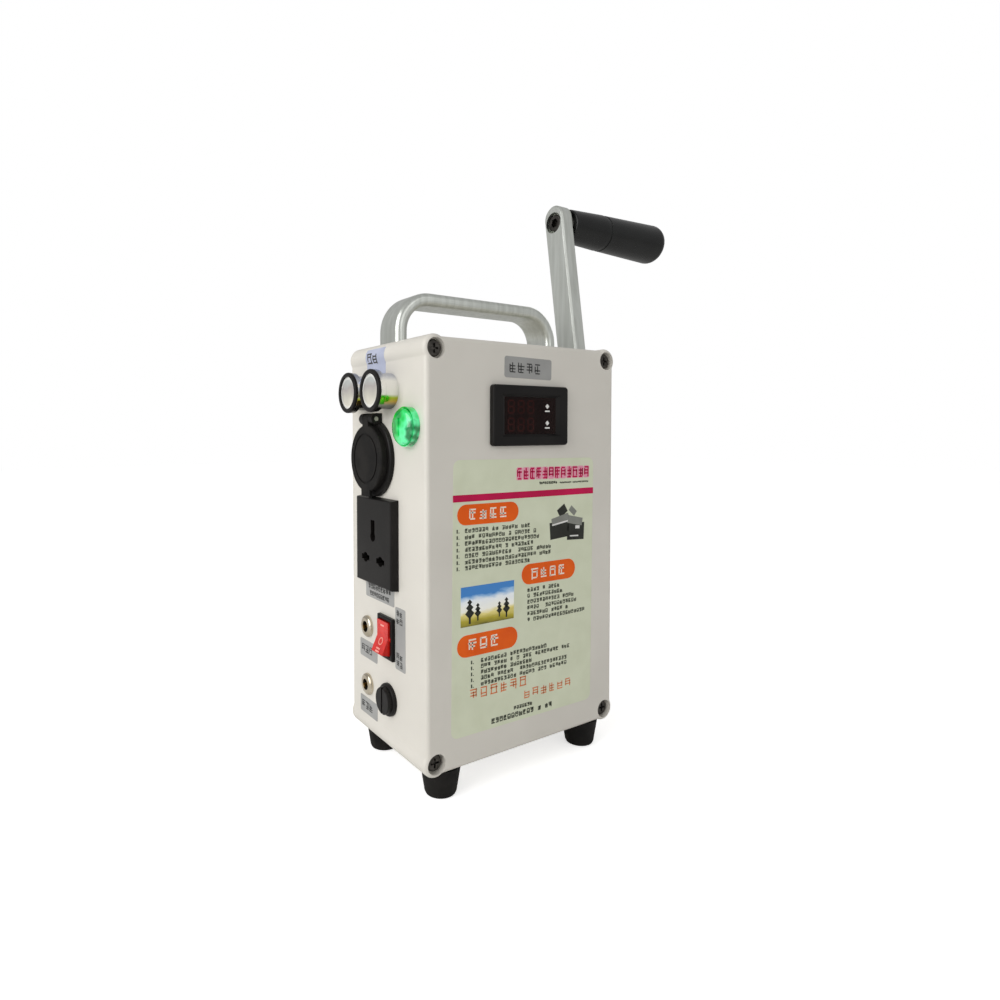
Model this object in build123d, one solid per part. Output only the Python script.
from build123d import *
import os
from math import acos, cos, pi, radians, sin, sqrt, tan

# A hand crank generator, in millimetres. +Z is up, -Y is the printed front and the crank is on the +X side.
# The origin is on the floor, under the middle of the box.

# Housing
box_width = 120.0
box_depth = 75.0
box_height = 200.0
foot_height = 14.0
wall = 3.0
lid_thickness = 3.8
lid_edge_radius = 2.2
rear_edge_radius = 1.6
corner_inset = 5.5
lobe_radius = 6.5
lobe_blend = 2.0
rear_pad_height = 1.5
column_radius = 6.3
column_length = 25.0
cavity_corner_radius = 3.0
lip_wall = 2.0
lip_length = 2.0
seal_width = 1.0
seal_height = 1.0

# Clearances
lip_clearance = 0.2
seal_clearance = 0.05
thread_clearance = 0.05
hole_clearance = 0.2
running_clearance = 0.05
seat_clearance = 0.02
moving_gap = 0.3
ledge_gap = 0.5
end_gap = 1.0

# How far a cutting shape runs past the face it cuts, and how far joined shapes run into each other
overshoot = 1.0
weld = 0.1

# Lid screws
lid_screw_radius = 1.9
lid_screw_length = 20.0
lid_head_radius = 4.0
lid_head_height = 1.8
pocket_radius = 4.75
pocket_depth = 3.6
lid_boss_radius = 3.6
lid_boss_height = 2.0
cross_length = 4.4
cross_width = 1.0
cross_depth = 1.1

# Feet
foot_inset_x = 14.1
foot_inset_y = 10.0
foot_top_radius = 9.75
foot_bottom_radius = 7.75
foot_edge_radius = 1.6
foot_recess_radius = 4.2
foot_recess_depth = 6.0
foot_screw_radius = 1.9
foot_screw_length = 13.0
foot_head_radius = 3.6
foot_head_height = 2.4
floor_boss_radius = 3.6
floor_boss_height = 5.0

# Carry handle
handle_inset = 10.05
handle_y = 9.5
handle_rise = 27.6
handle_depth = 19.8
handle_thickness = 6.6
handle_edge_radius = 2.8
handle_corner_radius = 17.0
handle_screw_radius = 2.4
handle_screw_reach = 10.0
handle_head_radius = 4.4
handle_head_height = 3.0

# Meter
meter_drop = 35.35
meter_x = -0.3
meter_width = 48.0
meter_height = 29.3
meter_proud = 3.0
meter_edge_radius = 1.8
meter_body_width = 45.4
meter_body_height = 26.4
meter_depth = 17.0
meter_wall = 1.4
meter_slope_width = 38.0
meter_slope_height = 20.5
meter_view_width = 33.0
meter_view_height = 18.0
meter_slope_depth = 1.4
meter_window_thickness = 1.0
meter_clip_proud = 1.0
meter_clip_height = 8.0
meter_clip_length = 5.0
meter_clip_gap = 0.1
meter_ledge = 1.0
meter_board_thickness = 1.6
digit_block_height = 8.0
digit_block_width = 22.0
digit_block_depth = 5.0
digit_margin = 1.0

# Lamps
lamp_ys = {"front": -4.8, "rear": 19.4}
lamp_drop = 23.5
lamp_reach = 11.5
lamp_rim_radius = 10.2
lamp_rim_length = 4.0
lamp_rim_lip = 1.0
lamp_view_radius = 8.1
lamp_barrel_radius = 8.7
lamp_barrel_wall = 1.3
lamp_floor = 2.0
lamp_lens_thickness = 1.0
lamp_stud_radius = 5.0
stud_length = 12.0
emitter_radius = 5.0
emitter_height = 1.2
emitter_dome_radius = 2.2

# Lit button
button_y = -23.3
button_drop = 40.7
button_ring_radius = 9.25
button_ring_height = 3.2
button_lens_radius = 8.5
button_dome_height = 3.1
button_travel = 2.5
button_floor = 0.4
button_neck_radius = 6.0
button_neck_length = 14.0
button_stem_radius = 4.4
button_stem_length = 12.0
button_bar_width = 1.2
button_bar_proud = 0.35
button_shoulder = 1.03
dome_bulge_at = 0.62
dome_bulge_drop = 0.14

# 12 V socket
socket_y = 9.9
socket_drop = 56.4
socket_flange_radius = 19.2
socket_flange_thickness = 2.5
socket_barrel_radius = 14.0
socket_length = 52.0
socket_liner_length = 44.0
socket_bore_radius = 10.5
socket_shell_wall = 0.8
socket_floor = 3.0
contact_radius = 4.0
contact_height = 2.5
contact_rivet_radius = 1.6
rivet_tail = 2.0
cap_radius = 16.7
cap_thickness = 3.4
cap_edge_radius = 1.0
cap_groove_radius = 12.6
cap_groove_width = 1.0
cap_groove_depth = 0.5
cap_plug_radius = 10.1
cap_plug_depth = 1.4
cap_face_gap = 0.1
cap_tab_width = 9.0
cap_tab_drop = 2.2
cap_tab_thickness = 1.6
cap_joint_length = 2.0
hinge_rise = 19.7
hinge_out = 0.7
hinge_pin_radius = 1.1
knuckle_radius = 2.7
knuckle_width = 5.8
ear_width = 3.9

# Mains outlet
outlet_y = 5.55
outlet_gap = 0.2
outlet_width = 36.9
outlet_height = 43.7
outlet_proud = 4.3
outlet_draft_inset = 0.5
outlet_edge_radius = 0.8
outlet_body_width = 32.0
outlet_body_height = 38.0
outlet_body_depth = 22.0
outlet_wall = 1.6
outlet_face_thickness = 3.0
pin_spread = 15.5
pin_drop = 8.8
pin_hole_radius = 2.5
pin_slot_length = 8.2
pin_slot_width = 2.6
earth_rise = 6.6
earth_slot_length = 8.2
earth_slot_width = 4.0
strip_width = 5.0
strip_gap = 3.6
strip_thickness = 0.8
strip_length = 14.0

# Rocker switch
switch_y = -1.7
switch_share = 0.694
switch_width = 15.0
switch_height = 20.7
switch_proud = 2.0
switch_edge_radius = 0.6
switch_body_width = 13.4
switch_body_height = 19.4
switch_body_depth = 20.0
switch_view_width = 11.2
switch_view_height = 17.4
switch_well_depth = 7.0
rocker_swing = 12.0
rocker_half_length = 7.8
rocker_end_rise = 3.75
rocker_middle_rise = 2.0
rocker_skirt = 2.5
rocker_side_gap = 0.2
rocker_pin_radius = 1.3
rocker_pin_length = 0.7
rocker_pivot_depth = 1.0
terminal_width = 4.8
terminal_thickness = 0.8
terminal_length = 8.0
terminal_pitch = 6.5

# Low-voltage jacks
jack_y = 19.0
jack_shares = {"charge": 0.696, "output": 0.319}
jack_ring_radius = 5.5
jack_proud = 2.0
jack_barrel_radius = 4.0
jack_length = 14.0
jack_bore_radius = 2.8
jack_core_length = 3.0
jack_pin_radius = 1.0
jack_pin_recess = 1.5

# Fuse holder
fuse_y = -2.9
fuse_share = 0.3105
fuse_flange_radius = 8.0
fuse_flange_thickness = 2.0
fuse_barrel_radius = 6.0
fuse_holder_length = 28.0
fuse_bore_radius = 4.4
fuse_floor = 2.0
fuse_cap_radius = 6.6
fuse_cap_height = 2.2
fuse_cap_neck_length = 7.0
fuse_slot_width = 1.3
fuse_slot_depth = 1.1
fuse_radius = 2.5
fuse_length = 20.0
fuse_grip_length = 4.0

# Nuts behind the left wall
nut_thickness = 4.0
nut_wall = 3.0
button_nut_across_flats = 14.0
hexagon_turn = 30.0

# Crank
crank_drop = 50.0
arm_standoff = 9.5
arm_thickness = 9.2
arm_width = 15.8
arm_length = 137.0
arm_end_reach = 10.6
arm_tilt = 8.37
arm_hub_radius = 10.5
arm_edge = 1.0
shaft_radius = 5.0
shaft_flat_depth = 1.2
shaft_collar_radius = 7.4
shaft_collar_gap = 0.3
shaft_tail = 1.0
arm_screw_radius = 2.5
arm_screw_length = 14.0
arm_head_radius = 6.0
arm_head_height = 2.6
counterbore_radius = 6.25
counterbore_depth = 6.0
grip_bolt_head_radius = 5.0
grip_bolt_head_height = 5.0
grip_bolt_radius = 4.0
hex_socket_across_flats = 5.0
hex_socket_depth = 3.0
grip_washer_radius = 6.8
grip_washer_thickness = 1.5
grip_length = 83.5
grip_neck_radius = 9.9
grip_middle_radius = 11.2
grip_full_radius = 12.7
grip_end_radius = 6.5
grip_edge = 0.8
grip_bore_end_gap = 18.0
snap_groove_depth = 0.6
snap_groove_width = 3.0
snap_inset = 6.0
snap_ring_wall = 1.0
grip_band_start = 27.5
grip_band_width = 3.0
grip_band_depth = 0.35

# Wall bearing
bearing_flange_radius = 22.0
bearing_flange_thickness = 4.0
bearing_hub_radius = 9.5
bearing_hub_length = 4.0
bearing_barrel_radius = 12.0
bearing_barrel_length = 9.0
bearing_screw_circle = 16.5
bearing_screw_radius = 1.9
bearing_screw_length = 11.0
bearing_head_radius = 3.4
bearing_head_height = 2.4
bearing_screw_count = 4
bearing_screw_start = 45.0

# Gear train
gear_module = 1.0
pressure_angle = 25.0
straight_up = 90.0
crank_teeth = 60
pinion_teeth = 12
idler_teeth = 48
dedendum_factor = 1.25
backlash = 0.12
flank_steps = 2
gear_width = 6.0
gear_gap = 2.0
crank_hub_radius = 9.0
crank_hub_length = 13.0
lightening_radius = 6.0
lightening_circle = 19.5
lightening_count = 6
idler_hub_radius = 4.5
idler_pin_radius = 3.0
plate_thickness = 2.5
outer_plate_thickness = 3.0
plate_width = 40.0
plate_bottom_margin = 16.0
plate_top_rise = 37.4
plate_corner_radius = 5.0
gearbox_depth = 25.0
first_gear_gap = 1.5
post_radius = 3.0
post_rivet_radius = 1.8
post_inset = 4.2

# Generator
can_radius = 21.0
can_length = 50.0
can_wall = 2.0
can_bearing_radius = 6.0
can_bearing_height = 3.0
magnet_thickness = 4.0
magnet_arc = 130.0
magnet_margin = 6.0
rotor_radius = 14.2
rotor_length = 32.0
rotor_slots = 8
rotor_slot_width = 2.2
rotor_slot_depth = 4.5
rotor_shaft_radius = 2.5
rotor_shaft_tail = 3.0

# Battery
cell_radius = 9.2
cell_length = 65.0
cell_gap = 0.2
cells_across = 2
cell_headroom = 1.0
cradle_base = 2.0
cradle_end = 2.0
cradle_end_rise = 2.8
cradle_end_gap = 0.3
terminal_disc_radius = 3.0
terminal_disc_height = 0.6

# Boards
board_gap = 3.5
board_thickness = 1.6
board_post_radius = 3.0
board_peg_radius = 1.4
board_peg_proud = 1.5
board_edge_margin = 5.0
inverter_inset = 3.0
inverter_width = 84.0
inverter_rise = 16.0
boards_spacing = 12.0
transformer_inset = 8.0
transformer_gap = 1.0
winding_inset = 2.0
transformer_width = 20.0
transformer_height = 22.0
transformer_depth = 18.0
transformer_core_width = 9.0
capacitor_radius = 4.8
capacitor_length = 15.0
capacitor_gap = 10.0
capacitor_drops = (18.0, 8.0)
charger_inset = 13.0
charger_width = 60.0
charger_top_gap = 18.0
charger_height = 46.0
heatsink_x = 6.0
heatsink_width = 14.0
heatsink_height = 28.0
heatsink_depth = 14.0
heatsink_base = 3.0
fin_count = 5
fin_thickness = 1.2

# Places worked out from the sizes above
box_bottom = foot_height
box_top = foot_height + box_height
box_middle_z = foot_height + box_height / 2
front_y = -box_depth / 2
rear_y = box_depth / 2
seam_y = front_y + lid_thickness
inner_rear_y = rear_y - wall
left_x = -box_width / 2
right_x = box_width / 2
inner_left_x = left_x + wall
inner_right_x = right_x - wall
floor_z = box_bottom + wall
ceiling_z = box_top - wall
column_x = box_width / 2 - corner_inset
column_z = box_height / 2 - corner_inset
corner_places = [(x, z) for x in (-column_x, column_x) for z in (-column_z, column_z)]
foot_places = {
    "front_left": (left_x + foot_inset_x, front_y + foot_inset_y),
    "front_right": (right_x - foot_inset_x, front_y + foot_inset_y),
    "rear_left": (left_x + foot_inset_x, rear_y - foot_inset_y),
    "rear_right": (right_x - foot_inset_x, rear_y - foot_inset_y),
}
handle_half_span = box_width / 2 - handle_inset
handle_places = [(-handle_half_span, handle_y), (handle_half_span, handle_y)]
meter_z = box_top - meter_drop
lamp_places = {place: (y, box_top - lamp_drop) for place, y in lamp_ys.items()}
button_z = box_top - button_drop
socket_z = box_top - socket_drop
outlet_z = socket_z - socket_flange_radius - outlet_gap - outlet_height / 2
controls_room = outlet_z - outlet_height / 2 - box_bottom
switch_z = box_bottom + switch_share * controls_room
jack_zs = {use: box_bottom + share * controls_room for use, share in jack_shares.items()}
fuse_z = box_bottom + fuse_share * controls_room
crank_z = box_top - crank_drop
arm_inner_x = right_x + arm_standoff
arm_outer_x = arm_inner_x + arm_thickness
grip_start_x = arm_outer_x + grip_washer_thickness + moving_gap
grip_end_x = grip_start_x + grip_length
grip_band_x = grip_start_x + grip_band_start
shaft_collar_x = right_x + bearing_flange_thickness + bearing_hub_length + shaft_collar_gap
inner_plate_x = inner_right_x - gearbox_depth
inner_plate_face = inner_plate_x + plate_thickness
outer_plate_x = inner_right_x - outer_plate_thickness
second_stage_x = inner_plate_face + first_gear_gap
first_stage_x = second_stage_x + gear_width + gear_gap
idler_z = crank_z - gear_module * (crank_teeth + pinion_teeth) / 2
rotor_z = idler_z - gear_module * (idler_teeth + pinion_teeth) / 2
plate_bottom_z = rotor_z - plate_bottom_margin
plate_top_z = crank_z + plate_top_rise
can_left = inner_plate_x - can_length
post_places = [(side * (plate_width / 2 - post_inset), z)
               for side in (-1, 1) for z in (plate_bottom_z + post_inset, plate_top_z - post_inset)]
bearing_screw_places = [
    (bearing_screw_circle * cos(radians(bearing_screw_start + 360 / bearing_screw_count * i)),
     crank_z + bearing_screw_circle * sin(radians(bearing_screw_start + 360 / bearing_screw_count * i)))
    for i in range(bearing_screw_count)
]
rocker_pivot_x = left_x - switch_proud + rocker_pivot_depth
hinge_x = left_x - socket_flange_thickness - hinge_out
hinge_z = socket_z + hinge_rise
board_rear_y = inner_rear_y - board_gap
board_front_y = board_rear_y - board_thickness
stage_bottom_z = floor_z + cradle_base
cell_pitch = 2 * cell_radius + cell_gap
cells_up = int((rotor_z - can_radius - cell_headroom - stage_bottom_z) / cell_pitch)
battery_x = (left_x + fuse_holder_length + inner_right_x) / 2
cradle_end_height = (cells_up - 1) * cell_pitch + cradle_end_rise
charger_left = inner_left_x + charger_inset
charger_bottom = box_top - charger_top_gap - charger_height
inverter_left = inner_left_x + inverter_inset
inverter_bottom = box_bottom + inverter_rise
inverter_height = charger_bottom - boards_spacing - inverter_bottom
transformer_x = can_left + transformer_inset
transformer_z = rotor_z + can_radius + transformer_gap + transformer_height / 2
capacitor_x = can_left - capacitor_gap
capacitor_zs = [rotor_z - drop for drop in capacitor_drops]


# Shapes along each axis
def slab_x(sketch, x_from, x_to):
    """Extrude a sketch drawn with Y to the right and Z up."""
    return extrude(Plane.YZ.offset(x_from) * sketch, x_to - x_from)


def slab_y(sketch, y_from, y_to):
    """Extrude a sketch drawn with X to the right and Z up."""
    return extrude(Plane.XZ.offset(-y_to) * sketch, y_to - y_from)


def slab_z(sketch, z_from, z_to):
    """Extrude a sketch drawn with X to the right and Y up."""
    return extrude(Plane.XY.offset(z_from) * sketch, z_to - z_from)


def rod_x(radius, x_from, x_to, y=0.0, z=0.0):
    """A round bar along X."""
    return slab_x(Pos(y, z) * Circle(radius), x_from, x_to)


def rod_y(radius, y_from, y_to, x=0.0, z=0.0):
    """A round bar along Y."""
    return slab_y(Pos(x, z) * Circle(radius), y_from, y_to)


def rod_z(radius, z_from, z_to, x=0.0, y=0.0):
    """A round bar along Z."""
    return slab_z(Pos(x, y) * Circle(radius), z_from, z_to)


def block(x_from, x_to, y_from, y_to, z_from, z_to):
    """A rectangular block between three pairs of faces."""
    middle = Pos((x_from + x_to) / 2, (y_from + y_to) / 2, (z_from + z_to) / 2)
    return middle * Box(x_to - x_from, y_to - y_from, z_to - z_from)


def turned_x(profile, y, z):
    """Revolve a face drawn as X against radius about an axis along X."""
    return Pos(0, y, z) * revolve(profile, Axis.X)


def turned_points(*points):
    """A closed profile of straight lines, each point an X and a radius."""
    return make_face(Polyline(*points, close=True))


def hexagon(across_flats, y, z):
    """A hexagon with two flats facing along Y."""
    return Pos(y, z) * Rot(0, 0, hexagon_turn) * RegularPolygon(across_flats / 2, 6, major_radius=False)


# Housing
def outline(grow=0.0):
    """The front view of the box: a rectangle with a round lobe at each corner."""
    shape = RectangleRounded(box_width + 2 * grow, box_height + 2 * grow, corner_inset + grow)
    for x, z in corner_places:
        shape += Pos(x, z) * Circle(lobe_radius + grow)
    inner_corners = [v for v in shape.vertices() if abs(v.X) < column_x or abs(v.Y) < column_z]
    return fillet(inner_corners, lobe_blend)


def cavity(grow=0.0):
    """The front view of the space inside, with the four screw columns standing in it."""
    shape = RectangleRounded(box_width - 2 * wall + 2 * grow, box_height - 2 * wall + 2 * grow,
                             cavity_corner_radius + grow)
    for x, z in corner_places:
        shape -= Pos(x, z) * Circle(column_radius - grow)
        outside = Pos(x + (box_width / 4 if x > 0 else -box_width / 4),
                      z + (box_height / 4 if z > 0 else -box_height / 4))
        shape -= outside * Rectangle(box_width / 2, box_height / 2)
    return shape


def centred(sketch):
    """Lift a sketch of the box to the box's middle height."""
    return Pos(0, box_middle_z) * sketch


def left_wall_holes():
    """Everything that passes through the left wall."""
    outside, inside = left_x - overshoot, inner_left_x + overshoot
    holes = [rod_x(lamp_stud_radius + hole_clearance, outside, inside, y, z) for y, z in lamp_places.values()]
    holes.append(rod_x(button_neck_radius + hole_clearance, outside, inside, button_y, button_z))
    holes.append(rod_x(socket_barrel_radius + hole_clearance, outside, inside, socket_y, socket_z))
    holes.append(rod_x(fuse_barrel_radius + hole_clearance, outside, inside, fuse_y, fuse_z))
    for z in jack_zs.values():
        holes.append(rod_x(jack_barrel_radius + hole_clearance, outside, inside, jack_y, z))
    for y, z, width, height in ((outlet_y, outlet_z, outlet_body_width, outlet_body_height),
                                (switch_y, switch_z, switch_body_width, switch_body_height)):
        cut_out = Rectangle(width + 2 * hole_clearance, height + 2 * hole_clearance)
        holes.append(slab_x(Pos(y, z) * cut_out, outside, inside))
    return holes


def outside_seats():
    """The flats cut in the corner lobes where the feet and the handle's legs stand."""
    seats = [rod_z(foot_top_radius + hole_clearance, box_bottom - lobe_radius, box_bottom, x, y)
             for x, y in foot_places.values()]
    half_x = handle_thickness / 2 + hole_clearance
    half_y = handle_depth / 2 + hole_clearance
    seats += [block(x - half_x, x + half_x, y - half_y, y + half_y, box_top, box_top + lobe_radius)
              for x, y in handle_places]
    return seats


def board_posts(left, width, bottom, height):
    """Stepped posts on the rear wall that carry one board by its corners."""
    posts = []
    for x in (left + board_edge_margin, left + width - board_edge_margin):
        for z in (bottom + board_edge_margin, bottom + height - board_edge_margin):
            posts.append(rod_y(board_post_radius, board_rear_y, inner_rear_y, x, z))
            posts.append(rod_y(board_peg_radius, board_front_y - board_peg_proud, board_rear_y, x, z))
    return posts


def make_rear_housing():
    """The deep moulded shell: side walls, back, screw columns, bosses and every hole."""
    shell = slab_y(centred(outline()), seam_y, rear_y)
    rear_edges = shell.faces().sort_by(Axis.Y)[-1].outer_wire().edges()
    shell = fillet(rear_edges, rear_edge_radius)
    for x, z in corner_places:
        pad = rod_y(lobe_radius - rear_edge_radius, rear_y - overshoot, rear_y + rear_pad_height, x,
                    z + box_middle_z)
        shell += pad
    shell -= slab_y(centred(cavity()), seam_y - overshoot, seam_y + column_length)
    rear_room = RectangleRounded(box_width - 2 * wall, box_height - 2 * wall, cavity_corner_radius)
    shell -= slab_y(centred(rear_room), seam_y + column_length, inner_rear_y)
    shell -= slab_y(centred(cavity(seal_width)), seam_y - overshoot, seam_y + seal_height)
    for x, z in corner_places:
        level = z + box_middle_z
        shell -= rod_y(lid_boss_radius + hole_clearance, seam_y - overshoot, seam_y + lid_boss_height, x,
                       level)
        shell -= rod_y(lid_screw_radius + thread_clearance, seam_y, seam_y + lid_screw_length, x, level)
    for x, y in foot_places.values():
        shell += rod_z(floor_boss_radius, floor_z - overshoot, floor_z + floor_boss_height, x, y)
        shell -= rod_z(foot_screw_radius + thread_clearance, box_bottom - overshoot,
                       floor_z + floor_boss_height + overshoot, x, y)
    for x, y in handle_places:
        shell -= rod_z(handle_screw_radius + hole_clearance, ceiling_z - overshoot, box_top + overshoot, x, y)
    shell -= rod_x(bearing_barrel_radius + hole_clearance, inner_right_x - overshoot, right_x + overshoot, 0,
                   crank_z)
    for y, z in bearing_screw_places:
        shell -= rod_x(bearing_screw_radius + hole_clearance, inner_right_x - overshoot, right_x + overshoot,
                       y, z)
    for cut in left_wall_holes() + outside_seats():
        shell -= cut
    for post in board_posts(inverter_left, inverter_width, inverter_bottom, inverter_height):
        shell += post
    for post in board_posts(charger_left, charger_width, charger_bottom, charger_height):
        shell += post
    return shell


def make_front_lid():
    """The flat front cover with its inner lip, screw pockets and the meter's cut-out."""
    plate = slab_y(centred(outline()), front_y, seam_y)
    front_edges = plate.faces().sort_by(Axis.Y)[0].outer_wire().edges()
    plate = fillet(front_edges, lid_edge_radius)
    lip = cavity(-lip_clearance) - cavity(-lip_clearance - lip_wall)
    plate += slab_y(centred(lip), seam_y, seam_y + lip_length)
    for x, z in corner_places:
        level = z + box_middle_z
        plate += rod_y(lid_boss_radius, seam_y - weld, seam_y + lid_boss_height, x, level)
        plate -= rod_y(pocket_radius, front_y - overshoot, front_y + pocket_depth, x, level)
        plate -= rod_y(lid_screw_radius + hole_clearance, front_y, seam_y + lid_boss_height + overshoot, x,
                       level)
    cut_out = Rectangle(meter_body_width + hole_clearance, meter_body_height + hole_clearance)
    plate -= slab_y(Pos(meter_x, meter_z) * cut_out, front_y - overshoot, seam_y + overshoot)
    for seat in outside_seats():
        plate -= seat
    return plate


def make_lid_seal():
    """The rubber cord in the step between the lid's lip and the housing."""
    ring = cavity(seal_width - seal_clearance) - cavity(-lip_clearance + seal_clearance)
    return slab_y(centred(ring), seam_y + seal_clearance, seam_y + seal_height)


def cross_recess(x, y_top, z):
    """The cross-shaped recess in a screw head that faces the front."""
    across = block(x - cross_length / 2, x + cross_length / 2, y_top - overshoot, y_top + cross_depth,
                   z - cross_width / 2, z + cross_width / 2)
    upright = block(x - cross_width / 2, x + cross_width / 2, y_top - overshoot, y_top + cross_depth,
                    z - cross_length / 2, z + cross_length / 2)
    return across + upright


def make_lid_screws():
    """Four pan head screws, one in each pocket of the lid."""
    screws = []
    floor_y = front_y + pocket_depth
    for x, z in corner_places:
        level = z + box_middle_z
        head = rod_y(lid_head_radius, floor_y - lid_head_height, floor_y, x, level)
        head = fillet(head.faces().sort_by(Axis.Y)[0].edges(), lid_head_height / 2)
        head -= cross_recess(x, floor_y - lid_head_height, level)
        shank = rod_y(lid_screw_radius, floor_y, floor_y + lid_screw_length - end_gap, x, level)
        screws.append(head + shank)
    return screws


# Feet
def make_foot(x, y):
    """A tapered rubber foot with the recess for its screw."""
    profile = Polyline((foot_recess_radius, 0), (foot_bottom_radius - foot_edge_radius, 0),
                       (foot_bottom_radius, foot_edge_radius), (foot_top_radius, foot_height),
                       (foot_screw_radius + hole_clearance, foot_height),
                       (foot_screw_radius + hole_clearance, foot_recess_depth),
                       (foot_recess_radius, foot_recess_depth), close=True)
    face = Plane.XZ * make_face(profile)
    return Pos(x, y, 0) * revolve(face, Axis.Z)


def make_foot_screws():
    """Four screws that go up through the feet into the floor bosses."""
    screws = []
    for x, y in foot_places.values():
        head = rod_z(foot_head_radius, foot_recess_depth - foot_head_height, foot_recess_depth, x, y)
        head -= block(x - foot_head_radius, x + foot_head_radius, y - cross_width / 2, y + cross_width / 2,
                      0, foot_recess_depth - foot_head_height / 2)
        shank = rod_z(foot_screw_radius, foot_recess_depth, foot_recess_depth + foot_screw_length, x, y)
        screws.append(head + shank)
    return screws


# Carry handle
def make_carry_handle():
    """A flat aluminium bar bent into a U, standing on the top."""
    crown_z = box_top + handle_rise - handle_thickness / 2
    path = Plane.XZ.offset(-handle_y) * FilletPolyline(
        (-handle_half_span, box_top), (-handle_half_span, crown_z), (handle_half_span, crown_z),
        (handle_half_span, box_top), radius=handle_corner_radius)
    section = Plane.XY.offset(box_top) * Pos(-handle_half_span, handle_y) * RectangleRounded(
        handle_thickness, handle_depth, handle_edge_radius)
    bar = sweep(section, path)
    for x, y in handle_places:
        bar -= rod_z(handle_screw_radius + thread_clearance, box_top - overshoot,
                     box_top + handle_screw_reach + overshoot, x, y)
    return bar


def make_handle_screws():
    """Two screws driven up from inside the box into the handle's legs."""
    screws = []
    for x, y in handle_places:
        head = rod_z(handle_head_radius, ceiling_z - handle_head_height, ceiling_z, x, y)
        head = chamfer(head.faces().sort_by(Axis.Z)[0].edges(), handle_head_height / 4)
        shank = rod_z(handle_screw_radius, ceiling_z, box_top + handle_screw_reach, x, y)
        screws.append(head + shank)
    return screws


# Meter
def meter_slab(width, height, y_from, y_to, radius=0.0):
    """A slab centred on the meter."""
    shape = RectangleRounded(width, height, radius) if radius else Rectangle(width, height)
    return slab_y(Pos(meter_x, meter_z) * shape, y_from, y_to)


def make_meter_case():
    """The meter's black frame, its open body and the two side clips."""
    frame_y = front_y - meter_proud
    frame = meter_slab(meter_width, meter_height, frame_y, front_y, meter_edge_radius)
    frame = fillet(frame.faces().sort_by(Axis.Y)[0].edges(), meter_edge_radius / 2)
    body = meter_slab(meter_body_width, meter_body_height, front_y, front_y + meter_depth)
    floor_y = frame_y + meter_slope_depth + meter_window_thickness
    case = frame + body
    case -= meter_slab(meter_body_width - 2 * meter_wall, meter_body_height - 2 * meter_wall,
                       floor_y + meter_ledge, front_y + meter_depth + overshoot)
    case -= meter_slab(meter_view_width, meter_view_height, frame_y, floor_y + meter_ledge + overshoot)
    wide = Plane.XZ.offset(-frame_y) * Pos(meter_x, meter_z) * Rectangle(meter_slope_width,
                                                                         meter_slope_height)
    narrow = Plane.XZ.offset(-frame_y - meter_slope_depth) * Pos(meter_x, meter_z) * Rectangle(
        meter_view_width, meter_view_height)
    case -= loft([wide.face(), narrow.face()])
    for side in (-1, 1):
        root = meter_x + side * (meter_body_width / 2 - weld)
        tip = meter_x + side * (meter_body_width / 2 + meter_clip_proud)
        clip_y = seam_y + meter_clip_gap
        wedge = Polyline((root, clip_y), (tip, clip_y), (root, clip_y + meter_clip_length), close=True)
        face = Plane.XY.offset(meter_z - meter_clip_height / 2) * make_face(wedge)
        case += extrude(face, meter_clip_height)
    return case


def make_meter_window():
    """The smoked window behind the sloped frame."""
    pane_y = front_y - meter_proud + meter_slope_depth
    return meter_slab(meter_view_width, meter_view_height, pane_y, pane_y + meter_window_thickness)


def make_meter_board():
    """Two blocks of digits on the meter's circuit board."""
    pane_y = front_y - meter_proud + meter_slope_depth + meter_window_thickness
    digits_y = pane_y + moving_gap
    board_y = digits_y + digit_block_depth
    board = meter_slab(meter_body_width - 2 * meter_wall, meter_body_height - 2 * meter_wall,
                       board_y, board_y + meter_board_thickness)
    solids = [board]
    left = meter_x - meter_view_width / 2 + digit_margin
    for side in (-1, 1):
        z = meter_z + side * (digit_block_height / 2 + moving_gap)
        solids.append(block(left, left + digit_block_width, digits_y, board_y,
                            z - digit_block_height / 2, z + digit_block_height / 2))
    return solids


# Lamps
def make_lamp_barrel(y, z):
    """A polished cup with the threaded stud that passes through the wall."""
    mouth = left_x - lamp_reach + lamp_rim_lip + lamp_lens_thickness
    inner = lamp_barrel_radius - lamp_barrel_wall
    cup_floor = left_x - lamp_floor
    profile = turned_points((mouth, inner), (mouth, lamp_barrel_radius), (left_x, lamp_barrel_radius),
                            (left_x, lamp_stud_radius), (left_x + stud_length, lamp_stud_radius),
                            (left_x + stud_length, 0), (cup_floor, 0), (cup_floor, inner))
    return turned_x(profile, y, z)


def make_lamp_rim(y, z):
    """The black ring that holds the lens on the barrel."""
    front = left_x - lamp_reach
    edge = lamp_rim_lip / 2
    bore = lamp_barrel_radius + seat_clearance
    profile = turned_points((front, lamp_view_radius), (front, lamp_rim_radius - edge),
                            (front + edge, lamp_rim_radius), (front + lamp_rim_length, lamp_rim_radius),
                            (front + lamp_rim_length, bore), (front + lamp_rim_lip, bore),
                            (front + lamp_rim_lip, lamp_view_radius))
    return turned_x(profile, y, z)


def make_lamp_lens(y, z):
    """The round diffuser under the rim's lip."""
    front = left_x - lamp_reach + lamp_rim_lip
    return rod_x(lamp_barrel_radius - seat_clearance, front, front + lamp_lens_thickness, y, z)


def make_lamp_emitters():
    """The light source on the floor of each cup."""
    solids = []
    for y, z in lamp_places.values():
        base = left_x - lamp_floor
        disc = rod_x(emitter_radius, base - emitter_height, base, y, z)
        solids.append(disc + rod_x(emitter_dome_radius, base - 2 * emitter_height, base - emitter_height, y,
                                   z))
    return solids


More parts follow.
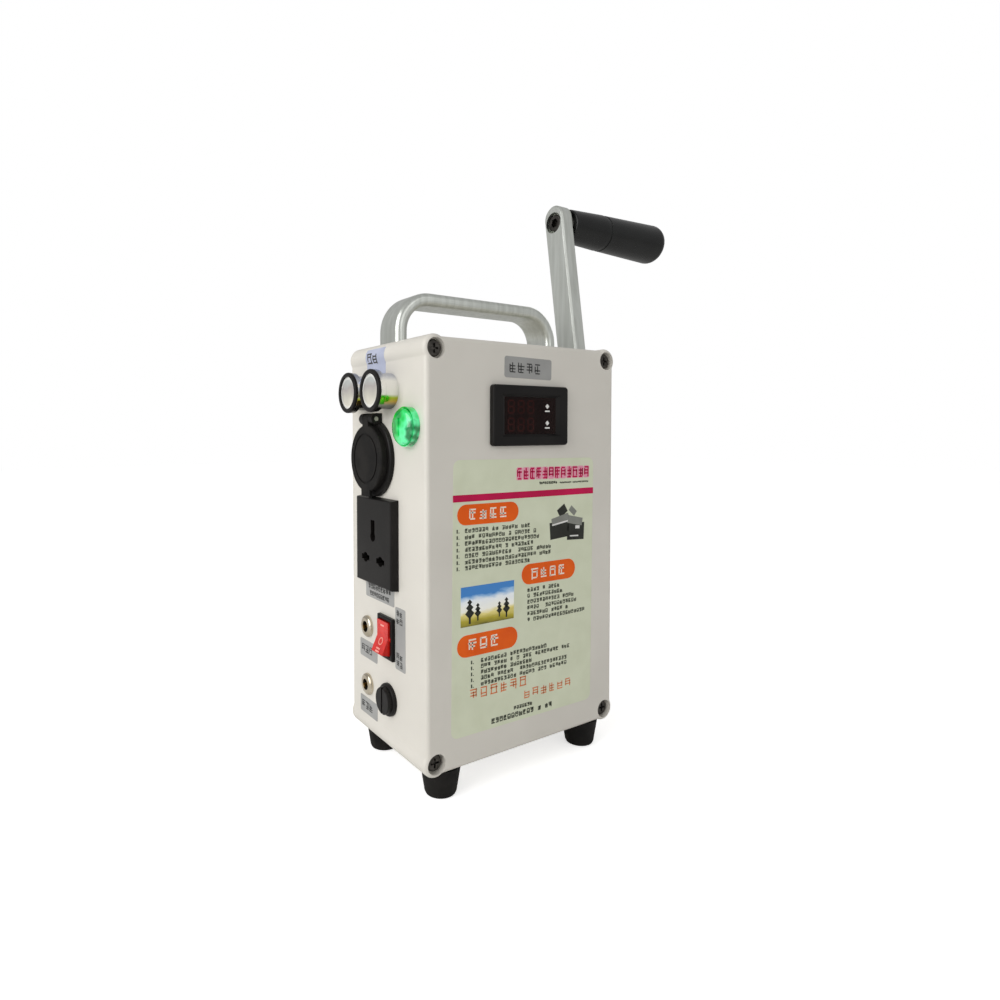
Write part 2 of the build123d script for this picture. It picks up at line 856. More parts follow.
# Lit button
def make_button_housing():
    """The ring round the button and the threaded neck behind it."""
    front = left_x - button_ring_height
    bore = button_stem_radius + running_clearance
    well = button_lens_radius + moving_gap
    profile = turned_points((front, well), (front, button_ring_radius), (left_x, button_ring_radius),
                            (left_x, button_neck_radius), (left_x + button_neck_length, button_neck_radius),
                            (left_x + button_neck_length, bore), (left_x - button_floor, bore),
                            (left_x - button_floor, well))
    return turned_x(profile, button_y, button_z)


def make_lamp_button():
    """The domed lens and the stem that it pushes."""
    back = left_x - button_floor - button_travel - moving_gap
    apex = back - button_dome_height
    stem_end = back + button_stem_length
    outline_wire = [Line((apex, 0), (stem_end, 0)), Line((stem_end, 0), (stem_end, button_stem_radius)),
                    Line((stem_end, button_stem_radius), (back, button_stem_radius)),
                    Line((back, button_stem_radius), (back, button_lens_radius))]
    shoulder = (back - button_shoulder, button_lens_radius)
    outline_wire.append(Line((back, button_lens_radius), shoulder))
    quarter = button_lens_radius * dome_bulge_at
    bulge = (apex + button_dome_height * dome_bulge_drop, quarter)
    outline_wire.append(ThreePointArc(shoulder, bulge, (apex, 0)))
    button = turned_x(make_face(outline_wire), button_y, button_z)
    bar = block(apex - button_bar_proud, back - overshoot, button_y - button_bar_width / 2,
                button_y + button_bar_width / 2,
                button_z - button_lens_radius / 2, button_z + button_lens_radius / 2)
    return button + bar


# 12 V socket
def make_socket_body():
    """The black flange with its hinge ears, and the barrel that reaches into the box."""
    flange_x = left_x - socket_flange_thickness
    shell_bore = socket_bore_radius + socket_shell_wall + seat_clearance
    far_end = left_x + socket_length
    body = rod_x(socket_flange_radius, flange_x, left_x, socket_y, socket_z)
    body = chamfer(body.faces().sort_by(Axis.X)[0].edges(), cap_edge_radius / 2)
    ear_half = knuckle_width / 2 + ear_width
    ear_foot = socket_z + cap_radius + ledge_gap
    ears = rod_y(knuckle_radius + weld, socket_y - ear_half, socket_y + ear_half, hinge_x, hinge_z)
    ears += block(hinge_x, left_x, socket_y - ear_half, socket_y + ear_half,
                  ear_foot, hinge_z + knuckle_radius + weld)
    ears += block(hinge_x - knuckle_radius / 2, hinge_x, socket_y - ear_half, socket_y + ear_half,
                  ear_foot, hinge_z)
    body += ears
    slot_half = knuckle_width / 2 + rocker_side_gap
    body -= block(hinge_x - 2 * knuckle_radius, left_x + overshoot, socket_y - slot_half,
                  socket_y + slot_half,
                  hinge_z - knuckle_radius - overshoot, hinge_z + 2 * knuckle_radius)
    body -= rod_y(hinge_pin_radius + seat_clearance, socket_y - ear_half - overshoot,
                  socket_y + ear_half + overshoot,
                  hinge_x, hinge_z)
    body += rod_x(socket_barrel_radius, left_x, far_end, socket_y, socket_z)
    body -= rod_x(shell_bore, flange_x - overshoot, far_end - socket_floor, socket_y, socket_z)
    body -= rod_x(contact_rivet_radius + seat_clearance, far_end - socket_floor - overshoot,
                  far_end + overshoot, socket_y, socket_z)
    return body


def make_socket_shell():
    """The plated liner that the accessory plug slides into, starting behind the cap's plug ring."""
    mouth = left_x - socket_flange_thickness + cap_plug_depth + moving_gap
    far_end = mouth + socket_liner_length
    liner = rod_x(socket_bore_radius + socket_shell_wall, mouth, far_end, socket_y, socket_z)
    return liner - rod_x(socket_bore_radius, mouth - overshoot, far_end + overshoot, socket_y, socket_z)


def make_socket_contact():
    """The centre contact riveted through the socket's floor."""
    floor_x = left_x + socket_length - socket_floor
    button = rod_x(contact_radius, floor_x - contact_height, floor_x, socket_y, socket_z)
    button = chamfer(button.faces().sort_by(Axis.X)[0].edges(), contact_height / 3)
    return button + rod_x(contact_rivet_radius, floor_x, floor_x + socket_floor + rivet_tail, socket_y,
                          socket_z)


def make_socket_cap():
    """The rubber dust cap with its knuckle, plug ring and finger tab."""
    back = left_x - socket_flange_thickness - cap_face_gap
    front = back - cap_thickness
    cap = rod_x(cap_radius, front, back, socket_y, socket_z)
    cap = fillet(cap.faces().sort_by(Axis.X)[0].edges(), cap_edge_radius)
    ring = rod_x(cap_groove_radius, front - overshoot, front + cap_groove_depth, socket_y, socket_z)
    ring -= rod_x(cap_groove_radius - cap_groove_width, front - overshoot, front + cap_groove_depth,
                  socket_y, socket_z)
    cap -= ring
    plug = rod_x(cap_plug_radius, back, back + cap_plug_depth, socket_y, socket_z)
    plug = chamfer(plug.faces().sort_by(Axis.X)[-1].edges(), cap_plug_depth / 4)
    cap += plug
    cap += block(front, front + cap_tab_thickness, socket_y - cap_tab_width / 2, socket_y + cap_tab_width / 2,
                 socket_z - cap_radius - cap_tab_drop, socket_z - cap_radius + cap_joint_length)
    half = knuckle_width / 2
    cap += block(front, back, socket_y - half, socket_y + half, socket_z + cap_radius - cap_joint_length,
                 hinge_z)
    cap += rod_y(knuckle_radius, socket_y - half, socket_y + half, hinge_x, hinge_z)
    return cap - rod_y(hinge_pin_radius + running_clearance, socket_y - half - overshoot,
                       socket_y + half + overshoot,
                       hinge_x, hinge_z)


def make_cap_hinge_pin():
    """The steel pin through the ears and the cap's knuckle."""
    half = knuckle_width / 2 + ear_width
    return rod_y(hinge_pin_radius, socket_y - half, socket_y + half, hinge_x, hinge_z)


# Mains outlet
def outlet_holes():
    """The sketch of the three pin holes, drawn round the outlet's middle."""
    holes = Sketch()
    for side in (-1, 1):
        place = Pos(side * pin_spread / 2, -pin_drop)
        holes += place * Circle(pin_hole_radius)
        holes += place * Rectangle(pin_slot_length, pin_slot_width)
    holes += Pos(0, earth_rise) * Rectangle(earth_slot_width, earth_slot_length)
    holes += Pos(0, earth_rise - earth_slot_length / 2) * Circle(pin_hole_radius)
    return holes


def make_outlet_frame():
    """The square outlet: a drafted front with three pin holes on an open-backed body."""
    face_x = left_x - outlet_proud
    base = Plane.YZ.offset(left_x) * Pos(outlet_y, outlet_z) * Rectangle(outlet_width, outlet_height)
    top = Plane.YZ.offset(face_x) * Pos(outlet_y, outlet_z) * Rectangle(
        outlet_width - 2 * outlet_draft_inset, outlet_height - 2 * outlet_draft_inset)
    front = loft([top.face(), base.face()])
    front = fillet(front.faces().sort_by(Axis.X)[0].edges(), outlet_edge_radius)
    body = slab_x(Pos(outlet_y, outlet_z) * Rectangle(outlet_body_width, outlet_body_height),
                  left_x, left_x + outlet_body_depth)
    room = Rectangle(outlet_body_width - 2 * outlet_wall, outlet_body_height - 2 * outlet_wall)
    outlet = front + body
    outlet -= slab_x(Pos(outlet_y, outlet_z) * room, face_x + outlet_face_thickness,
                     left_x + outlet_body_depth - outlet_wall)
    outlet -= slab_x(Pos(outlet_y, outlet_z) * outlet_holes(), face_x - overshoot,
                     face_x + outlet_face_thickness + overshoot)
    return outlet


def make_outlet_contacts():
    """A folded brass strip behind each pin hole, standing on the outlet's rear wall."""
    rear = left_x + outlet_body_depth - outlet_wall
    places = [(outlet_y - pin_spread / 2, outlet_z - pin_drop),
              (outlet_y + pin_spread / 2, outlet_z - pin_drop),
              (outlet_y, outlet_z + earth_rise)]
    strips = []
    for y, z in places:
        outer = block(rear - strip_length, rear, y - strip_width / 2, y + strip_width / 2,
                      z - strip_gap / 2 - strip_thickness, z + strip_gap / 2 + strip_thickness)
        strips.append(outer - block(rear - strip_length - overshoot, rear - strip_thickness,
                                    y - strip_width, y + strip_width, z - strip_gap / 2, z + strip_gap / 2))
    return strips


# Rocker switch
def make_switch_frame():
    """The switch's bezel and its body, open in front for the rocker."""
    face_x = left_x - switch_proud
    bezel = slab_x(Pos(switch_y, switch_z) * Rectangle(switch_width, switch_height), face_x, left_x)
    bezel = fillet(bezel.faces().sort_by(Axis.X)[0].edges(), switch_edge_radius)
    body = slab_x(Pos(switch_y, switch_z) * Rectangle(switch_body_width, switch_body_height),
                  left_x, left_x + switch_body_depth)
    frame = bezel + body
    frame -= slab_x(Pos(switch_y, switch_z) * Rectangle(switch_view_width, switch_view_height),
                    face_x - overshoot, face_x + switch_well_depth)
    pin_half = switch_view_width / 2 + rocker_pin_length
    return frame - rod_y(rocker_pin_radius + running_clearance, switch_y - pin_half, switch_y + pin_half,
                         rocker_pivot_x, switch_z)


def make_rocker():
    """The red rocker with its upper end pressed in, turning on two stub pins."""
    face = make_face(Polyline(
        (-rocker_end_rise, rocker_half_length), (-rocker_middle_rise, 0),
        (-rocker_end_rise, -rocker_half_length),
        (0, -rocker_half_length - rocker_side_gap), (rocker_skirt, -rocker_half_length + rocker_side_gap),
        (rocker_skirt, rocker_half_length - rocker_side_gap), (0, rocker_half_length + rocker_side_gap),
        close=True))
    half = switch_view_width / 2 - rocker_side_gap
    paddle = slab_y(face, -half, half)
    pin_half = switch_view_width / 2 + rocker_pin_length - running_clearance
    paddle += rod_y(rocker_pin_radius, -pin_half, pin_half)
    return Pos(rocker_pivot_x, switch_y, switch_z) * Rot(0, rocker_swing, 0) * paddle


def make_switch_terminals():
    """Three flat tabs at the back of the switch."""
    back = left_x + switch_body_depth
    return [block(back, back + terminal_length, switch_y - terminal_width / 2, switch_y + terminal_width / 2,
                  switch_z + step * terminal_pitch - terminal_thickness / 2,
                  switch_z + step * terminal_pitch + terminal_thickness / 2) for step in (-1, 0, 1)]


# Low-voltage jacks
def make_jack(z):
    """A nickel-plated jack: domed ring in front, threaded barrel behind."""
    front = left_x - jack_proud
    far_end = left_x + jack_length
    profile = turned_points((front, jack_bore_radius), (front, jack_ring_radius - jack_proud / 2),
                            (front + jack_proud / 2, jack_ring_radius), (left_x, jack_ring_radius),
                            (left_x, jack_barrel_radius), (far_end, jack_barrel_radius),
                            (far_end, jack_bore_radius))
    return turned_x(profile, jack_y, z)


def make_jack_cores():
    """The insulating plug and contact pin inside each jack."""
    cores = []
    far_end = left_x + jack_length
    for z in jack_zs.values():
        plug = rod_x(jack_bore_radius - seat_clearance, far_end - jack_core_length, far_end, jack_y, z)
        pin = rod_x(jack_pin_radius, left_x - jack_proud + jack_pin_recess, far_end - jack_core_length,
                    jack_y, z)
        cores.append(plug + pin)
    return cores


# Fuse holder
def make_fuse_holder():
    """The round holder: flange outside, deep barrel inside."""
    profile = turned_points((left_x - fuse_flange_thickness, fuse_bore_radius),
                            (left_x - fuse_flange_thickness, fuse_flange_radius - fuse_slot_depth / 2),
                            (left_x - fuse_flange_thickness / 2, fuse_flange_radius),
                            (left_x, fuse_flange_radius), (left_x, fuse_barrel_radius),
                            (left_x + fuse_holder_length, fuse_barrel_radius),
                            (left_x + fuse_holder_length, 0),
                            (left_x + fuse_holder_length - fuse_floor, 0),
                            (left_x + fuse_holder_length - fuse_floor, fuse_bore_radius))
    return turned_x(profile, fuse_y, fuse_z)


def make_fuse_cap():
    """The slotted cap whose neck grips one end of the fuse."""
    face_x = left_x - fuse_flange_thickness - seat_clearance
    knob = rod_x(fuse_cap_radius, face_x - fuse_cap_height, face_x, fuse_y, fuse_z)
    knob = fillet(knob.faces().sort_by(Axis.X)[0].edges(), fuse_slot_depth / 2)
    neck_end = face_x + fuse_cap_neck_length
    cap = knob + rod_x(fuse_bore_radius - running_clearance, face_x, neck_end, fuse_y, fuse_z)
    cap -= rod_x(fuse_radius + running_clearance, neck_end - fuse_grip_length, neck_end + overshoot, fuse_y,
                 fuse_z)
    return cap - block(face_x - fuse_cap_height - overshoot, face_x - fuse_cap_height + fuse_slot_depth,
                       fuse_y - fuse_slot_width / 2, fuse_y + fuse_slot_width / 2,
                       fuse_z - fuse_cap_radius, fuse_z + fuse_cap_radius)


def make_glass_fuse():
    """A glass cartridge fuse standing in the cap's neck."""
    start = left_x - fuse_flange_thickness - seat_clearance + fuse_cap_neck_length - fuse_grip_length
    start += running_clearance
    return rod_x(fuse_radius, start, start + fuse_length, fuse_y, fuse_z)


def make_panel_nuts():
    """The nuts that clamp the lamps, jacks, button, fuse holder and socket to the wall."""
    start = inner_left_x
    end = inner_left_x + nut_thickness
    round_fits = [(lamp_stud_radius, y, z) for y, z in lamp_places.values()]
    round_fits += [(jack_barrel_radius, jack_y, z) for z in jack_zs.values()]
    round_fits.append((fuse_barrel_radius, fuse_y, fuse_z))
    nuts = []
    for radius, y, z in round_fits:
        nut = slab_x(hexagon(2 * (radius + nut_wall), y, z), start, end)
        nuts.append(nut - rod_x(radius + thread_clearance, start - overshoot, end + overshoot, y, z))
    nut = slab_x(hexagon(button_nut_across_flats, button_y, button_z), start, end)
    nuts.append(nut - rod_x(button_neck_radius + thread_clearance, start - overshoot, end + overshoot,
                            button_y, button_z))
    ring = rod_x(socket_barrel_radius + nut_wall, start, end, socket_y, socket_z)
    nuts.append(ring - rod_x(socket_barrel_radius + thread_clearance, start - overshoot, end + overshoot,
                             socket_y, socket_z))
    return nuts


# Crank
def tilted(shape):
    """Turn a shape that stands straight up from the crank's axis back to the arm's rest angle."""
    return Pos(0, 0, crank_z) * Rot(-arm_tilt, 0, 0) * shape


def make_crank_arm():
    """The flat arm: round hub on the shaft, slotted end with the grip bolt's counterbore."""
    half = arm_width / 2
    end_centre = arm_length + arm_end_reach - half
    bar = Pos(0, end_centre / 2) * Rectangle(arm_width, end_centre)
    bar += Pos(0, end_centre) * Circle(half)
    bar += Circle(arm_hub_radius)
    arm = slab_x(bar, arm_inner_x, arm_outer_x)
    rims = arm.faces().sort_by(Axis.X)[0].edges() + arm.faces().sort_by(Axis.X)[-1].edges()
    arm = chamfer(rims, arm_edge)
    shaft_hole = Circle(shaft_radius + seat_clearance)
    flat = shaft_radius - shaft_flat_depth + seat_clearance
    shaft_hole &= Pos(0, flat - shaft_radius) * Rectangle(4 * shaft_radius, 2 * shaft_radius)
    arm -= slab_x(shaft_hole, arm_inner_x - overshoot, arm_outer_x + overshoot)
    arm -= rod_x(counterbore_radius, arm_inner_x - overshoot, arm_inner_x + counterbore_depth, 0, arm_length)
    arm -= rod_x(grip_bolt_radius + seat_clearance, arm_inner_x, arm_outer_x + overshoot, 0, arm_length)
    return tilted(arm)


def make_crank_shaft():
    """The steel shaft with its collar and the flatted end that drives from the arm."""
    start = inner_plate_x - shaft_tail
    shaft = rod_x(shaft_radius, start, arm_inner_x)
    shaft += rod_x(shaft_collar_radius, shaft_collar_x, arm_inner_x)
    end = Circle(shaft_radius) & Pos(0, -shaft_flat_depth) * Rectangle(4 * shaft_radius, 2 * shaft_radius)
    shaft += slab_x(end, arm_inner_x, arm_outer_x - seat_clearance)
    shaft -= rod_x(arm_screw_radius + thread_clearance, arm_outer_x - arm_screw_length - overshoot,
                   arm_outer_x + overshoot)
    return tilted(shaft)


def make_crank_screws():
    """The screw with a wide head that keeps the arm on, and the bolt that the grip turns on."""
    head = rod_x(arm_head_radius, arm_outer_x, arm_outer_x + arm_head_height)
    head = chamfer(head.faces().sort_by(Axis.X)[-1].edges(), arm_head_height / 4)
    socket = Plane.YZ.offset(arm_outer_x + arm_head_height / 3) * RegularPolygon(
        hex_socket_across_flats / 2, 6, major_radius=False)
    head -= extrude(socket, arm_head_height)
    arm_screw = head + rod_x(arm_screw_radius, arm_outer_x - arm_screw_length, arm_outer_x)

    bore_end = grip_end_x - grip_bore_end_gap
    head_x = arm_inner_x + counterbore_depth - grip_bolt_head_height
    bolt = rod_x(grip_bolt_head_radius, head_x, arm_inner_x + counterbore_depth, 0, arm_length)
    bolt = chamfer(bolt.faces().sort_by(Axis.X)[0].edges(), grip_edge / 2)
    bolt += rod_x(grip_bolt_radius, arm_inner_x + counterbore_depth, bore_end - end_gap, 0, arm_length)
    key = Plane.YZ.offset(head_x - overshoot) * Pos(0, arm_length) * RegularPolygon(
        hex_socket_across_flats / 2, 6, major_radius=False)
    bolt -= extrude(key, hex_socket_depth + overshoot)
    groove = rod_x(grip_bolt_radius + overshoot, bore_end - snap_inset - snap_groove_width,
                   bore_end - snap_inset,
                   0, arm_length)
    groove -= rod_x(grip_bolt_radius - snap_groove_depth,
                    bore_end - snap_inset - snap_groove_width - overshoot,
                    bore_end - snap_inset + overshoot, 0, arm_length)
    return [tilted(arm_screw), tilted(bolt - groove)]


def make_grip_washer():
    """The bright washer between the arm and the grip."""
    washer = rod_x(grip_washer_radius, arm_outer_x, arm_outer_x + grip_washer_thickness, 0, arm_length)
    washer -= rod_x(grip_bolt_radius + seat_clearance, arm_outer_x - overshoot,
                    arm_outer_x + grip_washer_thickness + overshoot,
                    0, arm_length)
    return tilted(washer)


def make_grip():
    """The hard black grip, swelling towards its round end, with an inner snap ring."""
    bore = grip_bolt_radius + running_clearance
    bore_end = grip_end_x - grip_bore_end_gap
    shoulder_x = grip_end_x - grip_end_radius
    band_end = grip_band_x + grip_band_width
    band_radius = grip_middle_radius - grip_band_depth
    corner = grip_end_radius * (1 - sqrt(0.5))
    profile = make_face([
        Line((grip_start_x, bore), (grip_start_x, grip_neck_radius - grip_edge)),
        Line((grip_start_x, grip_neck_radius - grip_edge), (grip_start_x + grip_edge, grip_neck_radius)),
        Polyline((grip_start_x + grip_edge, grip_neck_radius), (grip_band_x, grip_middle_radius),
                 (grip_band_x, band_radius), (band_end, band_radius), (band_end, grip_middle_radius),
                 (shoulder_x, grip_full_radius)),
        ThreePointArc((shoulder_x, grip_full_radius), (grip_end_x - corner, grip_full_radius - corner),
                      (grip_end_x, grip_full_radius - grip_end_radius)),
        Line((grip_end_x, grip_full_radius - grip_end_radius), (grip_end_x, 0)),
        Line((grip_end_x, 0), (bore_end, 0)),
        Line((bore_end, 0), (bore_end, bore)),
        Line((bore_end, bore), (grip_start_x, bore)),
    ])
    grip = Pos(0, 0, arm_length) * revolve(profile, Axis.X)
    snap_start = bore_end - snap_inset - snap_groove_width + moving_gap
    snap = rod_x(bore + snap_ring_wall, snap_start, bore_end - snap_inset - moving_gap, 0, arm_length)
    snap -= rod_x(grip_bolt_radius - snap_groove_depth + moving_gap, snap_start - overshoot, bore_end, 0,
                  arm_length)
    return tilted(grip + snap)


# Wall bearing
def make_wall_bearing():
    """The flanged bearing that carries the crank shaft in the right wall."""
    flange_end = right_x + bearing_flange_thickness
    bearing = rod_x(bearing_flange_radius, right_x, flange_end, 0, crank_z)
    bearing = chamfer(bearing.faces().sort_by(Axis.X)[-1].edges(), bearing_flange_thickness / 5)
    bearing += rod_x(bearing_hub_radius, flange_end, flange_end + bearing_hub_length, 0, crank_z)
    bearing += rod_x(bearing_barrel_radius, right_x - bearing_barrel_length, right_x, 0, crank_z)
    for y, z in bearing_screw_places:
        bearing -= rod_x(bearing_screw_radius + hole_clearance, right_x - overshoot, flange_end + overshoot,
                         y, z)
    return bearing - rod_x(shaft_radius + running_clearance, right_x - bearing_barrel_length - overshoot,
                           flange_end + bearing_hub_length + overshoot, 0, crank_z)


def make_bearing_screws():
    """The screws through the bearing's flange, the wall and the outer gear plate."""
    screws = []
    head_x = right_x + bearing_flange_thickness
    for y, z in bearing_screw_places:
        head = rod_x(bearing_head_radius, head_x, head_x + bearing_head_height, y, z)
        head = fillet(head.faces().sort_by(Axis.X)[-1].edges(), bearing_head_height / 3)
        screws.append(head + rod_x(bearing_screw_radius, head_x - bearing_screw_length, head_x, y, z))
    return screws


# Gear train
def involute(angle):
    """The involute function of a pressure angle in radians."""
    return tan(angle) - angle


def gear_sketch(teeth, first_tooth):
    """An involute gear's outline, with one tooth centred on the angle first_tooth in degrees."""
    pitch_radius = gear_module * teeth / 2
    base_radius = pitch_radius * cos(radians(pressure_angle))
    tip_radius = pitch_radius + gear_module
    root_radius = pitch_radius - dedendum_factor * gear_module
    start_radius = max(base_radius, root_radius)
    pitch_half = (pi * gear_module / 2 - backlash) / 2 / pitch_radius
    at_pitch = involute(radians(pressure_angle))
    flank = []
    for step in range(flank_steps + 1):
        radius = start_radius + (tip_radius - start_radius) * step / flank_steps
        flank.append((radius, pitch_half + at_pitch - involute(acos(base_radius / radius))))
    if root_radius < start_radius:
        flank.insert(0, (root_radius, flank[0][1]))
    points = []
    for tooth in range(teeth):
        middle = radians(first_tooth + 360 / teeth * tooth)
        for radius, half in flank:
            points.append((radius * cos(middle - half), radius * sin(middle - half)))
        for radius, half in reversed(flank):
            points.append((radius * cos(middle + half), radius * sin(middle + half)))
    return make_face(Polyline(*points, close=True))


def make_crank_gear():
    """The large gear on the crank shaft, with its hub and lightening holes."""
    disc = gear_sketch(crank_teeth, -straight_up)
    for index in range(lightening_count):
        angle = radians(360 / lightening_count * (index + 0.5))
        disc -= Pos(lightening_circle * cos(angle),
                    lightening_circle * sin(angle)) * Circle(lightening_radius)
    gear = slab_x(Pos(0, crank_z) * disc, first_stage_x, first_stage_x + gear_width)
    gear += rod_x(crank_hub_radius, first_stage_x + gear_width - crank_hub_length, first_stage_x, 0, crank_z)
    return gear - rod_x(shaft_radius + seat_clearance, inner_plate_x, right_x, 0, crank_z)


def make_idler_gear():
    """The cluster in the middle: a pinion driven by the crank gear, and the gear beside it."""
    half_tooth = 180 / pinion_teeth
    pinion = slab_x(Pos(0, idler_z) * gear_sketch(pinion_teeth, straight_up + half_tooth),
                    first_stage_x, first_stage_x + gear_width)
    wheel = slab_x(Pos(0, idler_z) * gear_sketch(idler_teeth, -straight_up), second_stage_x,
                   second_stage_x + gear_width)
    hub = rod_x(idler_hub_radius, inner_plate_face + moving_gap, outer_plate_x - moving_gap, 0, idler_z)
    cluster = pinion + wheel + hub
    return cluster - rod_x(idler_pin_radius + running_clearance, inner_plate_x, right_x, 0, idler_z)


def make_idler_pin():
    """The fixed pin that the idler turns on."""
    return rod_x(idler_pin_radius, inner_plate_x - shaft_tail, inner_right_x, 0, idler_z)


def make_rotor_pinion():
    """The small gear on the generator's shaft."""
    half_tooth = 180 / pinion_teeth
    pinion = slab_x(Pos(0, rotor_z) * gear_sketch(pinion_teeth, straight_up + half_tooth),
                    second_stage_x, second_stage_x + gear_width)
    return pinion - rod_x(rotor_shaft_radius + seat_clearance, inner_plate_x, right_x, 0, rotor_z)


def make_gearbox_plates():
    """The two steel plates that carry the train, the outer one against the wall."""
    height = plate_top_z - plate_bottom_z
    shape = Pos(0, (plate_top_z + plate_bottom_z) / 2) * RectangleRounded(plate_width, height,
                                                                          plate_corner_radius)
    inner = slab_x(shape, inner_plate_x, inner_plate_face)
    inner -= rod_x(shaft_radius + running_clearance, inner_plate_x - overshoot, inner_plate_face + overshoot,
                   0, crank_z)
    inner -= rod_x(rotor_shaft_radius + running_clearance, inner_plate_x - overshoot,
                   inner_plate_face + overshoot, 0, rotor_z)
    outer = slab_x(shape, outer_plate_x, inner_right_x)
    outer -= rod_x(bearing_barrel_radius + seat_clearance, outer_plate_x - overshoot,
                   inner_right_x + overshoot, 0, crank_z)
    for y, z in bearing_screw_places:
        outer -= rod_x(bearing_screw_radius + hole_clearance, outer_plate_x - overshoot,
                       inner_right_x + overshoot, y, z)
    plates = []
    for plate in (inner, outer):
        plate -= rod_x(idler_pin_radius + seat_clearance, inner_plate_x - overshoot, right_x, 0, idler_z)
        for y, z in post_places:
            plate -= rod_x(post_rivet_radius + seat_clearance, inner_plate_x - overshoot, right_x, y, z)
        plates.append(plate)
    return plates


def make_gearbox_posts():
    """Four posts riveted between the plates."""
    posts = []
    for y, z in post_places:
        post = rod_x(post_radius, inner_plate_face, outer_plate_x, y, z)
        posts.append(post + rod_x(post_rivet_radius, inner_plate_x, inner_right_x, y, z))
    return posts


# Generator
def make_generator_can():
    """The steel can on the inner plate, with the rear bearing in its end wall."""
    can = rod_x(can_radius, can_left, inner_plate_x, 0, rotor_z)
    can = chamfer(can.faces().sort_by(Axis.X)[0].edges(), can_wall / 2)
    can -= rod_x(can_radius - can_wall, can_left + can_wall, inner_plate_x + overshoot, 0, rotor_z)
    can += rod_x(can_bearing_radius, can_left - can_bearing_height, can_left + can_wall, 0, rotor_z)
    return can - rod_x(rotor_shaft_radius + running_clearance, can_left - can_bearing_height - overshoot,
                       can_left + can_wall + overshoot, 0, rotor_z)


def make_generator_magnets():
    """Two curved magnets against the can's wall."""
    outer = can_radius - can_wall - seat_clearance
    ring = Circle(outer) - Circle(outer - magnet_thickness)
    start = can_left + magnet_margin
    wedge_half = tan(radians((180 - magnet_arc) / 2)) * 2 * can_radius
    gap = make_face(Polyline((0, 0), (2 * can_radius, wedge_half), (2 * can_radius, -wedge_half), close=True))
    ring -= gap
    ring -= Rot(0, 0, 180) * gap
    magnets = slab_x(Pos(0, rotor_z) * ring, start, inner_plate_x - magnet_margin)
    return magnets.solids()


def make_rotor_core():
    """The slotted rotor pressed on the generator's shaft."""
    start = can_left + (can_length - rotor_length) / 2
    shape = Circle(rotor_radius)
    for index in range(rotor_slots):
        turn = Rot(0, 0, 360 / rotor_slots * (index + 0.5))
        shape -= turn * Pos(rotor_radius - rotor_slot_depth / 2 + overshoot / 2, 0) * Rectangle(
            rotor_slot_depth + overshoot, rotor_slot_width)
    core = slab_x(Pos(0, rotor_z) * shape, start, start + rotor_length)
    shaft = rod_x(rotor_shaft_radius, can_left - can_bearing_height - rotor_shaft_tail,
                  second_stage_x + gear_width + shaft_tail, 0, rotor_z)
    return core + shaft


# Battery
def cell_places():
    """The Y and Z of each cell's axis."""
    return [((column - (cells_across - 1) / 2) * cell_pitch, stage_bottom_z + cell_radius + row * cell_pitch)
            for column in range(cells_across) for row in range(cells_up)]


def make_battery_cells():
    """The round cells, lying along X."""
    cells = []
    for y, z in cell_places():
        cell = rod_x(cell_radius, battery_x - cell_length / 2, battery_x + cell_length / 2, y, z)
        cells.append(cell + rod_x(terminal_disc_radius, battery_x + cell_length / 2,
                                  battery_x + cell_length / 2 + terminal_disc_height, y, z))
    return cells


def make_battery_cradle():
    """The tray under the cells, with a wall at each end and one along each side."""
    half_length = cell_length / 2 + terminal_disc_height + cradle_end_gap
    half_width = cells_across * cell_radius + cell_gap + cradle_end_gap
    top = stage_bottom_z + cradle_end_height
    tray = block(battery_x - half_length - cradle_end, battery_x + half_length + cradle_end,
                 -half_width - cradle_end, half_width + cradle_end, floor_z, stage_bottom_z)
    for side in (-1, 1):
        inner = battery_x + side * half_length
        outer = inner + side * cradle_end
        tray += block(min(inner, outer), max(inner, outer), -half_width - cradle_end, half_width + cradle_end,
                      stage_bottom_z, top)
        tray += block(battery_x - half_length, battery_x + half_length,
                      min(side * half_width, side * (half_width + cradle_end)),
                      max(side * half_width, side * (half_width + cradle_end)),
                      stage_bottom_z, stage_bottom_z + cell_radius)
    return tray


# Boards
def bare_board(left, width, bottom, height):
    """A circuit board hung on its four posts."""
    board = block(left, left + width, board_front_y, board_rear_y, bottom, bottom + height)
    for x in (left + board_edge_margin, left + width - board_edge_margin):
        for z in (bottom + board_edge_margin, bottom + height - board_edge_margin):
            board -= rod_y(board_peg_radius + hole_clearance, board_front_y - overshoot,
                           board_rear_y + overshoot, x, z)
    return board


def make_inverter_board():
    """The inverter's board with its transformer and two capacitors."""
    solids = [bare_board(inverter_left, inverter_width, inverter_bottom, inverter_height)]
    half_width = transformer_width / 2
    half_height = transformer_height / 2
    core = block(transformer_x - half_width, transformer_x + half_width, board_front_y - transformer_depth,
                 board_front_y, transformer_z - transformer_core_width / 2,
                 transformer_z + transformer_core_width / 2)
    winding = block(transformer_x - half_width / 2, transformer_x + half_width / 2,
                    board_front_y - transformer_depth + winding_inset, board_front_y - winding_inset,
                    transformer_z - half_height, transformer_z + half_height)
    solids.append(core + winding)
    for z in capacitor_zs:
        can = rod_y(capacitor_radius, board_front_y - capacitor_length, board_front_y, capacitor_x, z)
        solids.append(chamfer(can.faces().sort_by(Axis.Y)[0].edges(), capacitor_radius / 8))
    return solids


